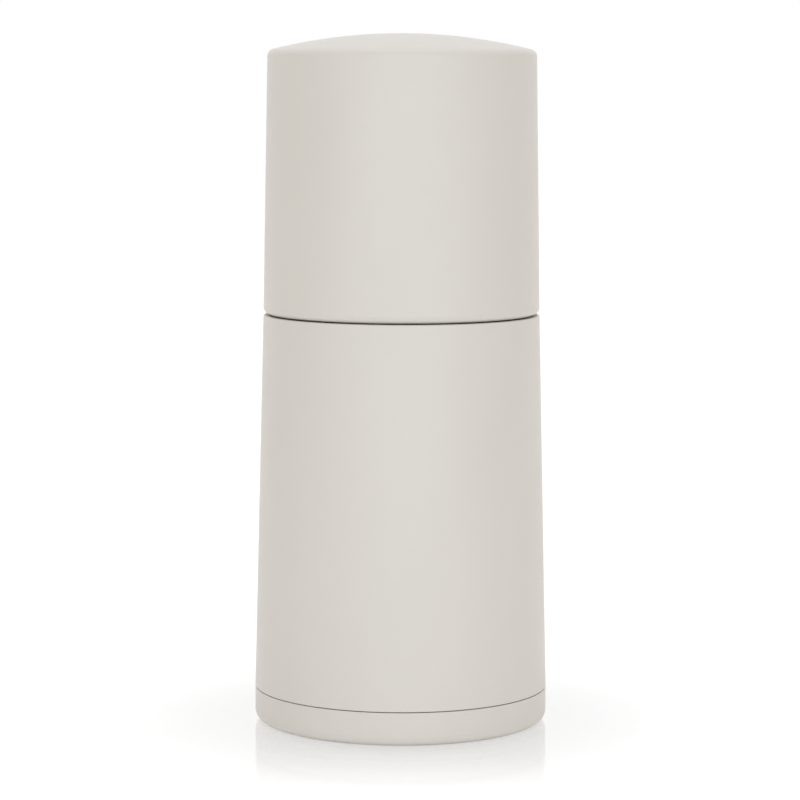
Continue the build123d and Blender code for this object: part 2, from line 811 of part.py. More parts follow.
with BuildPart() as neck_sleeve:
    with BuildSketch(Plane.XZ):
        with BuildLine():
            Polyline(
                (core_bore, core_foot),
                (core_radius(core_foot), core_foot),
                (core_radius(web_foot), web_foot - seat_gap),
                (tongue_radius, web_foot - seat_gap),
                (tongue_radius, web_foot - seat_gap + tongue_height),
                (tongue_radius - tongue_width, web_foot - seat_gap + tongue_height),
                (tongue_radius - tongue_width, web_foot - seat_gap),
                (core_bore, web_foot - seat_gap),
                close=True,
            )
        make_face()
    revolve(axis=Axis.Z)

# ---------------------------------------------------------------- drive socket
clip_height = socket_top - clip_drop
clip_groove_radius = socket_radius - clip_groove_depth
clip_radius = clip_groove_radius + seat_gap + clip_wire / 2
socket_foot = web_foot - seat_gap - socket_flange

with BuildPart() as drive_socket:
    with BuildSketch(Plane.XY.offset(socket_foot)):
        Circle(socket_flange_radius)
    extrude(amount=socket_flange)
    with BuildSketch(Plane.XY.offset(web_foot - seat_gap)):
        RegularPolygon(socket_hex, 6, major_radius=False)
    extrude(amount=web_thickness)
    with BuildSketch(Plane.XY.offset(web_foot)):
        Circle(socket_radius)
    extrude(amount=socket_top - web_foot)
    with BuildSketch(Plane.XZ):
        with Locations((clip_groove_radius, clip_height)):
            Rectangle(socket_radius, clip_wire + 2 * seat_gap, align=(Align.MIN, Align.CENTER))
    revolve(axis=Axis.Z, mode=Mode.SUBTRACT)
    with BuildSketch(Plane.XY.offset(socket_top - socket_slot_depth)):
        Rectangle(3 * socket_radius, socket_slot)
        Rectangle(socket_slot, 3 * socket_radius)
    extrude(amount=socket_slot_depth, mode=Mode.SUBTRACT)
    with BuildSketch(Plane.XY.offset(socket_foot)):
        Rectangle(shaft_square + 2 * shaft_fit, shaft_square + 2 * shaft_fit)
    extrude(amount=socket_top - socket_foot, mode=Mode.SUBTRACT)

socket_ring = wire_ring(clip_radius, clip_height, clip_wire, 360 - clip_opening)
head_screws = screw_set(head_screw_circle, web_foot, 0)

# ---------------------------------------------------------------- output
pieces = {
    "base_cap": base_cap,
    "cap_seal": cap_seal,
    "body_shell": body_shell,
    "base_collar": base_collar,
    "collar_oring": collar_oring,
    "hopper": hopper,
    "funnel": funnel,
    "neck_oring": neck_oring,
    "glide_ring": glide_ring,
    "burr_housing": burr_housing,
    "shaft_bush": shaft_bush,
    "stator_burr": stator_burr,
    "stator_circlip": stator_circlip,
    "housing_screws": housing_screws,
    "drive_shaft": drive_shaft,
    "thrust_washer": thrust_washer,
    "spring_washer": spring_washer,
    "burr_spring": burr_spring,
    "rotor_burr": rotor_burr,
    "rotor_hub": rotor_hub,
    "grind_dial": grind_dial,
    "dial_nut": dial_nut,
    "head_shell": head_shell,
    "head_core": head_core,
    "neck_sleeve": neck_sleeve,
    "drive_socket": drive_socket,
    "socket_ring": socket_ring,
    "head_screws": head_screws,
}

os.makedirs("parts", exist_ok=True)
for name, piece in pieces.items():
    piece.part.label = name
    export_step(piece.part, f"parts/{name}.step")
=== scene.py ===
import json
from math import atan, ceil, cos, pi, radians, sin, sqrt, tan

import bmesh
import bpy
from mathutils import Matrix, Vector


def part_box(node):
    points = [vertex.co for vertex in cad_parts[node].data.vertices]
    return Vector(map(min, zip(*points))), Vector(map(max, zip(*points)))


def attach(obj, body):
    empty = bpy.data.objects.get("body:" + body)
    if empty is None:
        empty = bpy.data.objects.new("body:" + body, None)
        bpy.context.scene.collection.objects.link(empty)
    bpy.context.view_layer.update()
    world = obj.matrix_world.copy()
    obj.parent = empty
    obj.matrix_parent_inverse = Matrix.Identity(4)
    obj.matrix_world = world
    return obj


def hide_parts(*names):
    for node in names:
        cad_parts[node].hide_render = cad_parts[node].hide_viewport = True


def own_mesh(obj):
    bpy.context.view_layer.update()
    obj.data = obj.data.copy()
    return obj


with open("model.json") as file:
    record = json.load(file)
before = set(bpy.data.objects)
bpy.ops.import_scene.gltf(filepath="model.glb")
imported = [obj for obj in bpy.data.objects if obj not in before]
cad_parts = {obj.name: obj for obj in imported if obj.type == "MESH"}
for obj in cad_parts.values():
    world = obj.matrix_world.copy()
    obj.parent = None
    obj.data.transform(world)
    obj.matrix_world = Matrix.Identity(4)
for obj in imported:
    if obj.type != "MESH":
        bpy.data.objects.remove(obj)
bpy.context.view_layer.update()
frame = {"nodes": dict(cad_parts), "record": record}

# A hand-twisted mill with a tapered body, a domed head and a base cap, in matt plastic.
# Sizes are in millimetres and become metres where a mesh or lamp is made. +Z is up, the mill
# stands on Z = 0, and the camera is on the -Y side.

MM = 0.001


def levels(node):
    """Heights of the foot and of the top of a CAD node, in millimetres."""
    low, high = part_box(node)
    return low.z / MM, high.z / MM


def reach(node):
    """Outer radius of a round CAD node, in millimetres."""
    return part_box(node)[1].x / MM


# ---------------------------------------------------------------- sizes
base_radius = 28.5
shoulder_radius = 26.8
crown_radius = 25.95
dome_rise = 3.3
wall = 2.0                  # of the body shell and of the head shell
slip_fit = 0.15             # between pieces that push together
running_fit = 0.1           # between pieces that turn on each other
ring_gap = 0.04             # between an O-ring and the wall that it seals on
seat_gap = 0.05             # between faces that turn or slide on each other

cap_foot_radius = 2.1
seam_edge_radius = 0.12
body_top_radius = 0.3
head_foot_radius = 1.3
rim_radius = 1.5
inner_edge = 0.2            # rounding of edges inside the mill
fine_edge = 0.1             # rounding of seals, grooves and other small steps
soft_edge = 0.3             # rounding of mouths and of some inside corners
seat_edge = 0.12            # rounding of the seat that carries the hopper's flange

collar_wall = 1.7
hopper_gap = 1.5            # radial, from the hopper to the collar
hopper_wall = 2.0
web_gap = 1.5               # between the neck's top and the head core's web
web_thickness = 2.0
SCREWS = 3                  # of each of the two sets, and bosses that take them

cap_top = levels("base_cap")[1]
body_foot, body_top = levels("body_shell")
head_foot, head_crest = levels("head_shell")
collar_foot, collar_top = levels("base_collar")
hopper_foot, neck_top = levels("hopper")
glide_foot, glide_top = levels("glide_ring")
seal_foot, seal_top = levels("cap_seal")
funnel_ring_foot, funnel_top = levels("funnel")
sleeve_foot, tongue_top = levels("neck_sleeve")

collar_radius = reach("base_collar")
collar_bore = collar_radius - collar_wall
hopper_radius = collar_bore - hopper_gap
hopper_bore = hopper_radius - hopper_wall
core_bore = hopper_radius + running_fit
head_rim = head_crest - dome_rise
web_foot = neck_top + web_gap
web_top = web_foot + web_thickness

# ---------------------------------------------------------------- mesh making
SIDES = 256                 # round the large shells
FINE_SIDES = 128            # round the small ones
SHARP = radians(35)         # edges that turn more than this stay crisp
ARC_STEP = radians(9)       # of a rounded corner
STRAIGHT = 0.01             # radians: an outline that turns less than this has no corner
SUPPORT = 0.6               # of a rounding: how far past it a point keeps the shading flat
SUPPORT_ROOM = 0.4          # of the edge that is left there, at most
ON_AXIS = 1e-6              # a point nearer to the axis than this lies on it
BOSS_SIDES = 48             # round a screw boss
BEVEL_STEPS = 2             # of a softened edge of a block


def rounded(corners):
    """Points of a closed outline. Each corner is (radius, height, rounding)."""
    points = []
    for i, (x, z, rounding) in enumerate(corners):
        here = Vector((x, z))
        back = Vector(corners[i - 1][:2]) - here
        ahead = Vector(corners[(i + 1) % len(corners)][:2]) - here
        room = min(back.length, ahead.length)
        back.normalize()
        ahead.normalize()
        opening = back.angle(ahead)
        if not rounding or abs(opening - pi) < STRAIGHT:
            points.append(here)
            continue
        tangent = rounding / tan(opening / 2)
        centre = here + (back + ahead).normalized() * rounding / sin(opening / 2)
        support = min(SUPPORT * rounding, SUPPORT_ROOM * (room - tangent))
        arm = here + back * tangent - centre
        turn = arm.angle_signed(here + ahead * tangent - centre)
        steps = max(2, ceil(abs(turn) / ARC_STEP))
        points.append(here + back * (tangent + support))
        for k in range(steps + 1):
            points.append(centre + Matrix.Rotation(-turn * k / steps, 2) @ arm)
        points.append(here + ahead * (tangent + support))
    return points


def circle(radius, height, wire, steps=24):
    """Points of the round section of a ring of wire."""
    return [
        Vector((radius + wire / 2 * cos(2 * pi * k / steps), height + wire / 2 * sin(2 * pi * k / steps)))
        for k in range(steps)
    ]


def lathe(bm, outline, sides=SIDES, at=(0, 0)):
    """Turns a closed outline round the upright line through at, into bm."""
    rings = []
    for x, z in outline:
        turns = 1 if abs(x) < ON_AXIS else sides
        rings.append([
            bm.verts.new((
                (at[0] + x * cos(2 * pi * k / sides)) * MM,
                (at[1] + x * sin(2 * pi * k / sides)) * MM,
                z * MM,
            ))
            for k in range(turns)
        ])
    for i, ring in enumerate(rings):
        other = rings[(i + 1) % len(rings)]
        if len(ring) == 1 and len(other) == 1:
            continue
        for k in range(sides):
            corners = []
            for point in (ring[k % len(ring)], ring[(k + 1) % len(ring)],
                          other[(k + 1) % len(other)], other[k % len(other)]):
                if point not in corners:
                    corners.append(point)
            bm.faces.new(corners)


def block(bm, low, high, turn=0.0, edge=0.0):
    """A box between two corners, turned about the Z axis, with softened edges."""
    size = [(far - near) * MM for near, far in zip(low, high)]
    middle = Vector([(near + far) / 2 * MM for near, far in zip(low, high)])
    place = Matrix.Rotation(turn, 4, "Z") @ Matrix.Translation(middle) @ Matrix.Diagonal((*size, 1))
    made = bmesh.ops.create_cube(bm, size=1, matrix=place)
    edges = {e for v in made["verts"] for e in v.link_edges}
    bmesh.ops.bevel(bm, geom=list(edges), offset=edge * MM, segments=BEVEL_STEPS, affect="EDGES", profile=0.5)


def around(radius, count, first=0.0):
    """Places on a circle, from an angle in radians."""
    return [
        (radius * cos(first + 2 * pi * k / count), radius * sin(first + 2 * pi * k / count))
        for k in range(count)
    ]


def piece(name, body, bm, material, node):
    """Makes an object of a mesh, which rides on a body and stands for a CAD node."""
    bmesh.ops.recalc_face_normals(bm, faces=bm.faces)
    mesh = bpy.data.meshes.new(name)
    bm.to_mesh(mesh)
    bm.free()
    mesh.shade_smooth()
    mesh.set_sharp_from_angle(angle=SHARP)
    mesh.materials.append(material)
    made = bpy.data.objects.new(name, mesh)
    bpy.context.scene.collection.objects.link(made)
    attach(made, body)
    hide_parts(node)
    return made


def turned(name, body, outline, material, node, sides=SIDES):
    """A piece that is one turned outline."""
    bm = bmesh.new()
    lathe(bm, outline, sides)
    piece(name, body, bm, material, node)


# ---------------------------------------------------------------- materials
NOISE_RANGE = (0.3, 0.7)    # in which most of the noise lies
BEVEL_SAMPLES = 4


class Surface:
    """A material made of nodes, with its shader and helpers to add detail to it."""

    def __init__(self, name, colour, roughness, metallic=0.0, specular=0.5, edge=0.12):
        self.material = bpy.data.materials.new(name)
        self.material.use_nodes = True
        self.tree = self.material.node_tree
        self.shader = self.tree.nodes["Principled BSDF"]
        self.shader.inputs["Base Color"].default_value = (*colour, 1)
        self.shader.inputs["Roughness"].default_value = roughness
        self.shader.inputs["Metallic"].default_value = metallic
        self.shader.inputs["Specular IOR Level"].default_value = specular
        self.colour = colour
        self.roughness = roughness
        self.place = self.tree.nodes.new("ShaderNodeTexCoord")
        softened = self.tree.nodes.new("ShaderNodeBevel")
        softened.samples = BEVEL_SAMPLES
        softened.inputs["Radius"].default_value = edge * MM
        self.normal = softened.outputs["Normal"]

    def noise(self, size, detail=2.0, stretch=(1, 1, 1)):
        """Noise whose grain is about size millimetres, stretched along the axes."""
        mapping = self.tree.nodes.new("ShaderNodeMapping")
        mapping.inputs["Scale"].default_value = [1 / s for s in stretch]
        noise = self.tree.nodes.new("ShaderNodeTexNoise")
        noise.inputs["Scale"].default_value = 1 / (size * MM)
        noise.inputs["Detail"].default_value = detail
        self.tree.links.new(self.place.outputs["Object"], mapping.inputs["Vector"])
        self.tree.links.new(mapping.outputs["Vector"], noise.inputs["Vector"])
        return noise.outputs["Fac"]

    def spread(self, source, low, high):
        """Maps noise onto a range."""
        node = self.tree.nodes.new("ShaderNodeMapRange")
        node.inputs["From Min"].default_value = NOISE_RANGE[0]
        node.inputs["From Max"].default_value = NOISE_RANGE[1]
        node.inputs["To Min"].default_value = low
        node.inputs["To Max"].default_value = high
        self.tree.links.new(source, node.inputs["Value"])
        return node.outputs["Result"]

    def tint(self, source, other):
        """Varies the base colour towards another one."""
        mix = self.tree.nodes.new("ShaderNodeMix")
        mix.data_type = "RGBA"
        mix.inputs["A"].default_value = (*self.colour, 1)
        mix.inputs["B"].default_value = (*other, 1)
        self.tree.links.new(self.spread(source, 0.0, 1.0), mix.inputs["Factor"])
        self.tree.links.new(mix.outputs["Result"], self.shader.inputs["Base Color"])

    def polish(self, source, change):
        """Varies the roughness by change, either way."""
        varied = self.spread(source, self.roughness - change, self.roughness + change)
        self.tree.links.new(varied, self.shader.inputs["Roughness"])

    def bump(self, source, depth):
        """Raises the surface by up to depth millimetres where the noise is high."""
        node = self.tree.nodes.new("ShaderNodeBump")
        node.inputs["Distance"].default_value = depth * MM
        self.tree.links.new(source, node.inputs["Height"])
        self.tree.links.new(self.normal, node.inputs["Normal"])
        self.tree.links.new(node.outputs["Normal"], self.shader.inputs["Normal"])
        self.normal = node.outputs["Normal"]


def scaled(colour, share):
    """A colour made lighter or darker by a share."""
    return tuple(min(1.0, c * share) for c in colour)


def moulded(name, colour, roughness, grain, depth):
    """Moulded plastic: fine grain, faint flow marks and uneven gloss."""
    made = Surface(name, colour, roughness)
    made.tint(made.noise(14.0, 3.0, (1, 1, 2.5)), scaled(colour, 1.02))
    made.polish(made.noise(3.0, 4.0), 0.04)
    made.bump(made.noise(grain, 2.0), depth)
    made.bump(made.noise(6.0, 1.0), depth)
    return made.material


def brushed(name, colour, roughness, along):
    """Metal with brush lines that run along an axis."""
    made = Surface(name, colour, roughness, metallic=1.0, edge=0.06)
    lines = made.noise(0.12, 3.0, along)
    made.tint(made.noise(0.3, 2.0, along), scaled(colour, 0.88))
    made.polish(lines, 0.08)
    made.bump(lines, 0.006)
    return made.material


def ceramic(name, colour):
    """Unglazed dense ceramic: pale, faintly speckled, with a dull sheen."""
    made = Surface(name, colour, 0.42)
    made.tint(made.noise(0.35, 4.0), scaled(colour, 0.93))
    made.polish(made.noise(1.2, 3.0), 0.06)
    made.bump(made.noise(0.18, 3.0), 0.012)
    return made.material


def silicone(name, colour):
    """Soft rubber with a faint bloom of dust."""
    made = Surface(name, colour, 0.62, specular=0.4)
    made.tint(made.noise(2.0, 5.0), scaled(colour, 1.35))
    made.polish(made.noise(1.0, 3.0), 0.08)
    made.bump(made.noise(0.15, 2.0), 0.006)
    return made.material


SHELL_COLOUR = (0.700, 0.670, 0.628)
shell = moulded("shell_matt", SHELL_COLOUR, 0.41, 0.22, 0.004)
dark = moulded("dark_plastic_matt", (0.035, 0.034, 0.034), 0.48, 0.25, 0.012)
white = moulded("white_plastic_matt", (0.62, 0.60, 0.57), 0.45, 0.25, 0.008)
acetal = moulded("acetal_satin", (0.78, 0.77, 0.74), 0.32, 0.30, 0.004)
dial_grey = moulded("dial_plastic_matt", (0.30, 0.28, 0.265), 0.45, 0.25, 0.010)
burr = ceramic("burr_ceramic", (0.83, 0.81, 0.77))
steel = brushed("steel_brushed", (0.62, 0.62, 0.61), 0.30, (1, 1, 40))
spring_steel = brushed("spring_steel_drawn", (0.50, 0.50, 0.50), 0.34, (4, 4, 4))
brass = brushed("brass_turned", (0.70, 0.52, 0.25), 0.30, (1, 1, 0.3))
rubber = silicone("seal_silicone", (0.30, 0.29, 0.28))

MATERIALS = {
    "shell": shell, "dark_plastic": dark, "white_plastic": white, "acetal": acetal,
    "dial_plastic": dial_grey, "ceramic": burr, "steel": steel, "spring_steel": spring_steel,
    "brass": brass, "silicone": rubber,
}
for part in frame["record"]["subparts"]:
    node = frame["nodes"][part["node"]]
    node.data.materials.clear()
    node.data.materials.append(MATERIALS[part["material_slot"]])

# ---------------------------------------------------------------- base cap and its seal
cap_side_fit = 0.3          # radial, round the collar
cap_corner_radius = 0.4     # between the cap's wall and floor, inside
cap_rest_width = 4.0        # flat ring that the mill stands on
recess = 0.5                # hollow of the underside
cap_bore = collar_radius + cap_side_fit
rest_outer = base_radius - cap_foot_radius
rest_inner = rest_outer - cap_rest_width

turned("base_cap_shell", "base_cap", rounded([
    (0, recess, 0),
    (rest_inner, recess, inner_edge),
    (rest_inner, 0, inner_edge),
    (base_radius, 0, cap_foot_radius),
    (base_radius, cap_top, seam_edge_radius),
    (cap_bore, cap_top, inner_edge),
    (cap_bore, seal_foot, cap_corner_radius),
    (0, seal_foot, 0),
]), shell, "base_cap")

seal_radius = reach("cap_seal")
seal_width = 1.7
seal_inside = seal_radius - seal_width
turned("cap_seal_ring", "base_cap", rounded([
    (seal_radius, seal_foot, fine_edge),
    (seal_radius, seal_top, fine_edge),
    (seal_inside, seal_top, fine_edge),
    (seal_inside, seal_foot, fine_edge),
]), rubber, "cap_seal")

# ---------------------------------------------------------------- body shell
ledge_width = 1.4           # ledge inside the shell that the collar pulls against
ledge_height = 2.0
rest_flange = 1.2           # flange that hangs the hopper in the body
land_width = 1.25           # of the shell's top that is left outside that flange
ledge_bore = collar_radius + slip_fit
ledge_radius = ledge_bore - ledge_width
ledge_top = collar_top + ledge_height
land_radius = shoulder_radius - land_width
rest_flange_foot = glide_foot - rest_flange

KEYS = 3
FIRST_KEY = radians(90)
key_width = 2.0
key_height = 3.5            # below the collar's top
key_depth = 1.0             # from the wall towards the axis
key_root = 1.0              # of a key inside the wall
key_sink = 0.5              # of a key into the ledge above it


def body_radius(height):
    """Outer radius of the tapered body."""
    share = (height - body_foot) / (body_top - body_foot)
    return base_radius + (shoulder_radius - base_radius) * share


mouth_radius = body_radius(rest_flange_foot) - wall
bm = bmesh.new()
lathe(bm, rounded([
    (base_radius - wall, body_foot, inner_edge),
    (base_radius, body_foot, seam_edge_radius),
    (shoulder_radius, body_top, body_top_radius),
    (land_radius, body_top, seat_edge),
    (land_radius, rest_flange_foot, 0),
    (mouth_radius, rest_flange_foot, seat_edge),
    (body_radius(ledge_top) - wall, ledge_top, inner_edge),
    (ledge_radius, ledge_top, inner_edge),
    (ledge_radius, collar_top, inner_edge),
    (ledge_bore, collar_top, 0),
]))
for key in range(KEYS):
    block(
        bm,
        (ledge_bore - key_depth, -key_width / 2, collar_top - key_height),
        (ledge_bore + key_root, key_width / 2, collar_top + key_sink),
        turn=FIRST_KEY + key * 2 * pi / KEYS,
        edge=inner_edge,
    )
piece("body_shell_tube", "mill_body", bm, shell, "body_shell")

# ---------------------------------------------------------------- collar ring and hopper
collar_ring_wire = 1.3
collar_groove_rise = 2.2    # above the collar's foot
collar_ring_radius = cap_bore - ring_gap - collar_ring_wire / 2
turned(
    "collar_oring_round", "mill_body",
    circle(collar_ring_radius, collar_foot + collar_groove_rise, collar_ring_wire), rubber, "collar_oring",
)

ring_wire = 1.0
neck_groove_drop = 3.5      # below the neck's top
neck_ring_radius = core_bore - ring_gap - ring_wire / 2
neck_ring_height = neck_top - neck_groove_drop
groove_radius = neck_ring_radius - ring_wire / 2 - seat_gap
groove_half = ring_wire / 2 + slip_fit
turned(
    "neck_oring_round", "mill_body",
    circle(neck_ring_radius, neck_ring_height, ring_wire), rubber, "neck_oring",
)

skirt_depth = 3.0           # ring under the flange that centres the hopper in the body
skirt_wall = 1.0
neck_edge_radius = 0.6
skirt_radius = mouth_radius - slip_fit
skirt_inside = skirt_radius - skirt_wall
skirt_foot = rest_flange_foot - skirt_depth
flange_radius = land_radius - slip_fit
boss_radius = 2.6
boss_height = 14.0
boss_bore = 1.45            # radius of the hole for a screw
boss_bore_depth = 9.0
screw_circle = collar_bore - slip_fit - boss_radius
SCREW_ANGLE = radians(30)

bm = bmesh.new()
lathe(bm, rounded([
    (hopper_bore, hopper_foot, inner_edge),
    (hopper_radius, hopper_foot, inner_edge),
    (hopper_radius, rest_flange_foot, soft_edge),
    (skirt_inside, rest_flange_foot, inner_edge),
    (skirt_inside, skirt_foot, inner_edge),
    (skirt_radius, skirt_foot, inner_edge),
    (skirt_radius, rest_flange_foot, 0),
    (flange_radius, rest_flange_foot, fine_edge),
    (flange_radius, glide_foot, fine_edge),
    (hopper_radius, glide_foot, soft_edge),
    (hopper_radius, neck_ring_height - groove_half, fine_edge),
    (groove_radius, neck_ring_height - groove_half, fine_edge),
    (groove_radius, neck_ring_height + groove_half, fine_edge),
    (hopper_radius, neck_ring_height + groove_half, fine_edge),
    (hopper_radius, neck_top, neck_edge_radius),
    (hopper_bore, neck_top, soft_edge),
]))
for place in around(screw_circle, SCREWS, SCREW_ANGLE):
    lathe(bm, rounded([
        (boss_bore, hopper_foot, fine_edge),
        (boss_radius, hopper_foot, inner_edge),
        (boss_radius, hopper_foot + boss_height, inner_edge),
        (0, hopper_foot + boss_height, 0),
        (0, hopper_foot + boss_bore_depth, 0),
        (boss_bore, hopper_foot + boss_bore_depth, 0),
    ]), BOSS_SIDES, place)
piece("hopper_tube", "mill_body", bm, dark, "hopper")

# ---------------------------------------------------------------- funnel and glide ring
funnel_gap = 0.1            # above the burr housing
funnel_wall = 1.6
funnel_ring = 1.0           # wall of the ring under the funnel
throat_wall = 3.8           # of the stator, where the seeds enter between the burrs
boss_gap = 0.35             # radial, from the bosses to the burr housing
funnel_foot = levels("burr_housing")[1] + funnel_gap
funnel_radius = reach("funnel")
throat_radius = reach("stator_burr") - throat_wall
flange_overhang = collar_bore - slip_fit - (screw_circle - boss_radius - boss_gap)
ring_bore = reach("burr_housing") - flange_overhang + slip_fit
ring_radius = ring_bore + funnel_ring


def funnel_under(radius):
    """Height of the sloping underside of the funnel."""
    share = (radius - throat_radius - funnel_wall) / (funnel_radius - throat_radius - funnel_wall)
    return funnel_foot + share * (funnel_top - funnel_foot - funnel_wall)


turned("funnel_cone", "mill_body", rounded([
    (funnel_radius, funnel_top, inner_edge),
    (throat_radius, funnel_foot, inner_edge),
    (throat_radius + funnel_wall, funnel_foot, inner_edge),
    (ring_bore, funnel_under(ring_bore), fine_edge),
    (ring_bore, funnel_ring_foot, fine_edge),
    (ring_radius, funnel_ring_foot, fine_edge),
    (ring_radius, funnel_under(ring_radius), fine_edge),
    (funnel_radius, funnel_top - funnel_wall, inner_edge),
]), dark, "funnel", FINE_SIDES)

glide_bore = hopper_radius + slip_fit
glide_radius = reach("glide_ring")
turned("glide_ring_flat", "mill_body", rounded([
    (glide_bore, glide_foot, fine_edge),
    (glide_radius, glide_foot, fine_edge),
    (glide_radius, glide_top, inner_edge),
    (glide_bore, glide_top, inner_edge),
]), acetal, "glide_ring")

# ---------------------------------------------------------------- burr spring
SPRING_TURNS = 3.5
COIL_STEPS = 48             # of each turn
WIRE_SIDES = 12
spring_foot = levels("rotor_hub")[1]
spring_top = levels("spring_washer")[0]
spring_length = spring_top - spring_foot
spring_wire = 0.8
spring_radius = reach("burr_spring") - spring_wire / 2


def coil(bm):
    """A helix of round wire with both ends ground flat."""
    steps = round(SPRING_TURNS * COIL_STEPS)
    rings = []
    for i in range(steps + 1):
        turn = 2 * pi * i / COIL_STEPS
        height = spring_foot + spring_length * i / steps
        ring = []
        for x, z in circle(spring_radius, height, spring_wire, WIRE_SIDES):
            ground = min(max(z, spring_foot), spring_top)
            ring.append(bm.verts.new((x * cos(turn) * MM, x * sin(turn) * MM, ground * MM)))
        rings.append(ring)
    for ring, after in zip(rings, rings[1:]):
        for k in range(WIRE_SIDES):
            other = (k + 1) % WIRE_SIDES
            bm.faces.new((ring[k], ring[other], after[other], after[k]))
    bm.faces.new(rings[0])
    bm.faces.new(rings[-1])


bm = bmesh.new()
coil(bm)
spring = piece("burr_spring_coil", "drive", bm, spring_steel, "burr_spring")
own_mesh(spring)

# ---------------------------------------------------------------- head shell
dome_radius = (crown_radius ** 2 + dome_rise ** 2) / (2 * dome_rise)
dome_centre = head_crest - dome_radius
DOME_STEPS = 14
inner_crown = crown_radius - wall
head_boss_radius = 3.2
inner_rim_radius = 0.5
pilot_depth = 11.0          # of a boss's hole above the web
rib_width = 1.6
rib_rise = 3.05             # above the web, just clear of the core's skirt
rib_overlap = 0.3           # of a rib with its boss
rib_sink = 0.2              # of a rib into the shell
lip_gap = 0.4               # radial, from the spill lip to the hopper's bore
lip_thickness = 1.0
screw_head = 4.6
head_screw_gap = 1.7        # radial, from the screws' heads to the spill lip
lip_bore = hopper_bore - lip_gap - lip_thickness
head_screw_circle = lip_bore - head_screw_gap - screw_head / 2


def dome(radius, thickness=0.0):
    """Height of the dome at a radius, or of its inner face."""
    return dome_centre + sqrt((dome_radius - thickness) ** 2 - radius ** 2)


outer_dome = [(crown_radius * (1 - k / DOME_STEPS), dome(crown_radius * (1 - k / DOME_STEPS)), 0)
              for k in range(1, DOME_STEPS + 1)]
inner_dome = [(inner_crown * k / DOME_STEPS, dome(inner_crown * k / DOME_STEPS, wall), 0)
              for k in range(DOME_STEPS)]
bm = bmesh.new()
lathe(bm, rounded([
    (shoulder_radius - wall, head_foot, inner_edge),
    (shoulder_radius, head_foot, head_foot_radius),
    (crown_radius, head_rim, rim_radius),
    *outer_dome,
    *inner_dome,
    (inner_crown, dome(inner_crown, wall), inner_rim_radius),
]))
boss_top = dome(head_screw_circle + head_boss_radius, wall / 2)
pilot_top = web_top + pilot_depth
for place in around(head_screw_circle, SCREWS):
    lathe(bm, rounded([
        (boss_bore, web_top, fine_edge),
        (head_boss_radius, web_top, inner_edge),
        (head_boss_radius, boss_top, 0),
        (0, boss_top, 0),
        (0, pilot_top, 0),
        (boss_bore, pilot_top, 0),
    ]), BOSS_SIDES, place)
for rib in range(SCREWS):
    block(
        bm,
        (head_screw_circle + head_boss_radius - rib_overlap, -rib_width / 2, web_top + rib_rise),
        (inner_crown + rib_sink, rib_width / 2, dome(inner_crown, wall)),
        turn=rib * 2 * pi / SCREWS,
        edge=inner_edge,
    )
piece("head_shell_dome", "head", bm, shell, "head_shell")

# ---------------------------------------------------------------- neck sleeve
sleeve_radius = reach("neck_sleeve")
sleeve_top = web_foot - seat_gap
taper = (shoulder_radius - crown_radius) / (head_rim - head_foot)
sleeve_top_radius = sleeve_radius - (sleeve_top - sleeve_foot) * taper
tongue_inset = 0.5          # from the sleeve's bore
tongue_width = 0.5          # ring on the sleeve that holds it to the head core
tongue_edge = 0.05
tongue_inside = core_bore + tongue_inset
tongue_outside = tongue_inside + tongue_width
turned("neck_sleeve_ring", "head", rounded([
    (core_bore, sleeve_foot, soft_edge),
    (sleeve_radius, sleeve_foot, inner_edge),
    (sleeve_top_radius, sleeve_top, fine_edge),
    (tongue_outside, sleeve_top, tongue_edge),
    (tongue_outside, tongue_top, fine_edge),
    (tongue_inside, tongue_top, fine_edge),
    (tongue_inside, sleeve_top, tongue_edge),
    (core_bore, sleeve_top, fine_edge),
]), acetal, "neck_sleeve")

# ---------------------------------------------------------------- camera
PHOTO = 800                 # width and height of the photograph, in pixels
FOCAL = 3083.9              # pixels
CAMERA_DISTANCE = 597.7     # from the mill's axis
CAMERA_HEIGHT = 125.32
CAMERA_PITCH = radians(5.98)
CAMERA_ROLL = radians(0.15)
AXIS_OFFSET = 1.3           # pixels that the mill's axis stands right of the picture's middle
CAMERA_YAW = atan(AXIS_OFFSET / FOCAL)
SENSOR = 36.0
NEAR_CLIP = 0.05            # metres
FAR_CLIP = 20               # metres

camera_data = bpy.data.cameras.new("camera")
camera_data.sensor_width = SENSOR
camera_data.lens = SENSOR * FOCAL / PHOTO
camera_data.clip_start = NEAR_CLIP
camera_data.clip_end = FAR_CLIP
camera = bpy.data.objects.new("camera", camera_data)
camera.matrix_world = (
    Matrix.Translation((0, -CAMERA_DISTANCE * MM, CAMERA_HEIGHT * MM))
    @ Matrix.Rotation(CAMERA_YAW, 4, "Z")
    @ Matrix.Rotation(pi / 2 - CAMERA_PITCH, 4, "X")
    @ Matrix.Rotation(CAMERA_ROLL, 4, "Z")
)
bpy.context.scene.collection.objects.link(camera)
bpy.context.scene.camera = camera
bpy.context.scene.view_settings.view_transform = "Standard"

# ---------------------------------------------------------------- light
AMBIENT = (0.52, 0.47, 0.39)    # world light, a touch warm
KEY = (11.2, 12.2, 13.8)        # watts of each colour from the front, a touch cool
BACK = (6.5, 7.0, 7.6)          # watts of each colour from behind
TOP = (9.0, 9.8, 11.3)          # watts of each colour from above
LAMP_DISTANCE = 1500            # from the mill's axis, or above the floor
LAMP_HEIGHT = 200               # of the front and back lamps
KEY_SHIFT = 80                  # of the front lamp, to the right
BAND = (4400, 380)              # width and height of the front and back lamps
TOP_BOX = (1200, 1200)
AIM_HEIGHT = 70                 # on the mill's axis, where each lamp points
SEEN_RAYS = ("Is Camera Ray", "Is Glossy Ray", "Is Transmission Ray")


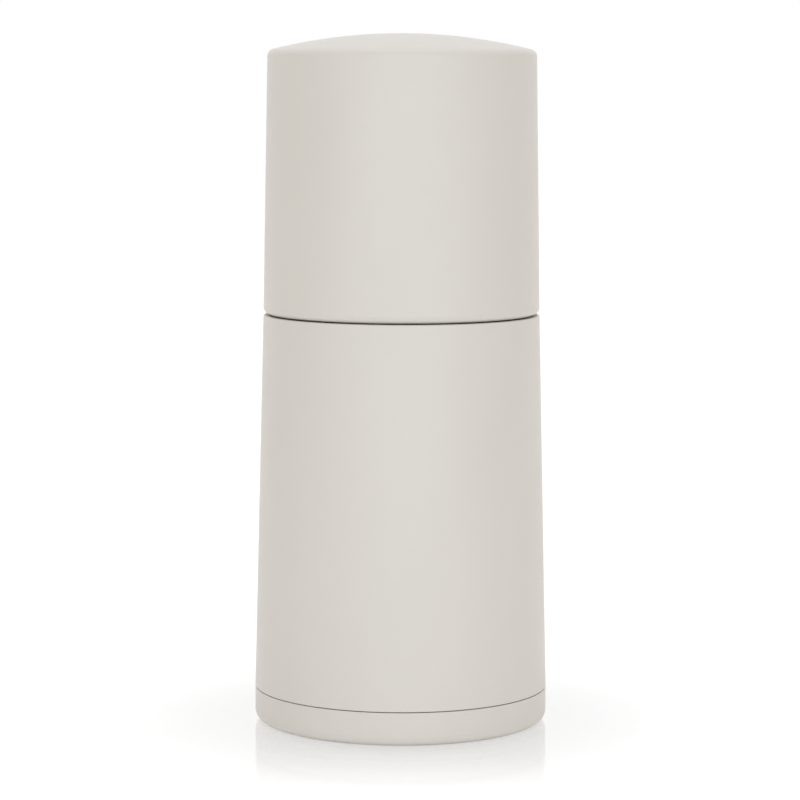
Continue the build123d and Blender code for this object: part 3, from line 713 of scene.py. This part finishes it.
def picked(tree, *rays):
    """One where a ray is of any of these kinds, and nought elsewhere."""
    path = tree.nodes.new("ShaderNodeLightPath")
    result = path.outputs[rays[0]]
    for ray in rays[1:]:
        either = tree.nodes.new("ShaderNodeMath")
        either.operation = "MAXIMUM"
        tree.links.new(result, either.inputs[0])
        tree.links.new(path.outputs[ray], either.inputs[1])
        result = either.outputs[0]
    return result


def blend_shaders(tree, share, first, second):
    """A mix of two shaders by a share that a node gives."""
    mix = tree.nodes.new("ShaderNodeMixShader")
    tree.links.new(share, mix.inputs["Fac"])
    tree.links.new(first.outputs[0], mix.inputs[1])
    tree.links.new(second.outputs[0], mix.inputs[2])
    return mix


def make_world():
    """Plain ambient light, and white where the camera, gloss or glass sees past the floor."""
    world = bpy.data.worlds.new("studio")
    world.use_nodes = True
    tree = world.node_tree
    tree.nodes.clear()
    plain = tree.nodes.new("ShaderNodeBackground")
    plain.inputs["Color"].default_value = (*AMBIENT, 1)
    backdrop = tree.nodes.new("ShaderNodeBackground")
    backdrop.inputs["Color"].default_value = (1, 1, 1, 1)
    seen = picked(tree, *SEEN_RAYS)
    both = blend_shaders(tree, seen, plain, backdrop)
    sky = tree.nodes.new("ShaderNodeOutputWorld")
    tree.links.new(both.outputs[0], sky.inputs["Surface"])
    bpy.context.scene.world = world


def lamp(name, place, width, height, power, gloss=False):
    """A soft box at a place, in millimetres, that points at the mill's middle."""
    data = bpy.data.lights.new(name, "AREA")
    data.shape = "RECTANGLE"
    data.size = width * MM
    data.size_y = height * MM
    data.energy = max(power)
    data.color = [p / max(power) for p in power]
    made = bpy.data.objects.new(name, data)
    made.location = Vector(place) * MM
    made.rotation_mode = "QUATERNION"
    made.rotation_quaternion = (Vector((0, 0, AIM_HEIGHT)) - Vector(place)).to_track_quat("-Z", "Y")
    made.visible_camera = False
    made.visible_glossy = gloss
    bpy.context.scene.collection.objects.link(made)


make_world()
lamp("key", (KEY_SHIFT, -LAMP_DISTANCE, LAMP_HEIGHT), *BAND, KEY, gloss=True)
lamp("back", (0, LAMP_DISTANCE, LAMP_HEIGHT), *BAND, BACK)
lamp("top", (0, 0, LAMP_DISTANCE), *TOP_BOX, TOP)

# ---------------------------------------------------------------- floor
HALF_FLOOR = 6000           # from the mill to the floor's edge
FLOOR_COLOUR = 0.94
SHADE_SHARE = 0.22          # of the floor's light and shadow that camera and gloss see
FLOOR_GLOW = 0.92           # of white that they see beside it
MIRROR = 0.52               # share of mirror just outside the foot of the mill
CONTACT_SHARE = 0.75        # of that share, right under the foot's edge
MIRROR_BLUR = 0.08
CONTACT = (26.5, 31.0)      # radii between which the mirror sets in
FADE = (26.0, 82.0)         # radii between which it fades to nothing


def grey(level):
    """An opaque grey of a level from 0 to 1."""
    return (level, level, level, 1)


def make_floor():
    """A pale floor that looks white, keeps the shadow and faintly mirrors the mill's foot."""
    mesh = bpy.data.meshes.new("floor")
    half = HALF_FLOOR * MM
    corners = [(-half, -half, 0), (half, -half, 0), (half, half, 0), (-half, half, 0)]
    mesh.from_pydata(corners, [], [(0, 1, 2, 3)])
    floor = bpy.data.objects.new("floor", mesh)
    bpy.context.scene.collection.objects.link(floor)

    material = bpy.data.materials.new("floor_white")
    material.use_nodes = True
    tree = material.node_tree
    tree.nodes.clear()
    material.cycles.emission_sampling = "NONE"
    plain = tree.nodes.new("ShaderNodeBsdfDiffuse")
    plain.inputs["Color"].default_value = grey(FLOOR_COLOUR)
    shaded = tree.nodes.new("ShaderNodeBsdfDiffuse")
    shaded.inputs["Color"].default_value = grey(FLOOR_COLOUR * SHADE_SHARE)
    glow = tree.nodes.new("ShaderNodeEmission")
    glow.inputs["Color"].default_value = grey(FLOOR_GLOW)
    lit = tree.nodes.new("ShaderNodeAddShader")
    tree.links.new(shaded.outputs[0], lit.inputs[0])
    tree.links.new(glow.outputs[0], lit.inputs[1])
    mirror = tree.nodes.new("ShaderNodeBsdfGlossy")
    mirror.inputs["Roughness"].default_value = MIRROR_BLUR
    place = tree.nodes.new("ShaderNodeTexCoord")
    from_axis = tree.nodes.new("ShaderNodeVectorMath")
    from_axis.operation = "LENGTH"
    tree.links.new(place.outputs["Object"], from_axis.inputs[0])
    share = tree.nodes.new("ShaderNodeMath")
    share.operation = "MULTIPLY"
    for k, (radii, first, last) in enumerate(((CONTACT, CONTACT_SHARE, 1.0), (FADE, MIRROR, 0.0))):
        ramp = tree.nodes.new("ShaderNodeMapRange")
        ramp.interpolation_type = "SMOOTHSTEP"
        ramp.inputs["From Min"].default_value = radii[0] * MM
        ramp.inputs["From Max"].default_value = radii[1] * MM
        ramp.inputs["To Min"].default_value = first
        ramp.inputs["To Max"].default_value = last
        tree.links.new(from_axis.outputs["Value"], ramp.inputs["Value"])
        tree.links.new(ramp.outputs["Result"], share.inputs[k])
    shown = blend_shaders(tree, share.outputs[0], lit, mirror)
    seen = picked(tree, *SEEN_RAYS)
    both = blend_shaders(tree, seen, plain, shown)
    out = tree.nodes.new("ShaderNodeOutputMaterial")
    tree.links.new(both.outputs[0], out.inputs["Surface"])
    mesh.materials.append(material)


make_floor()
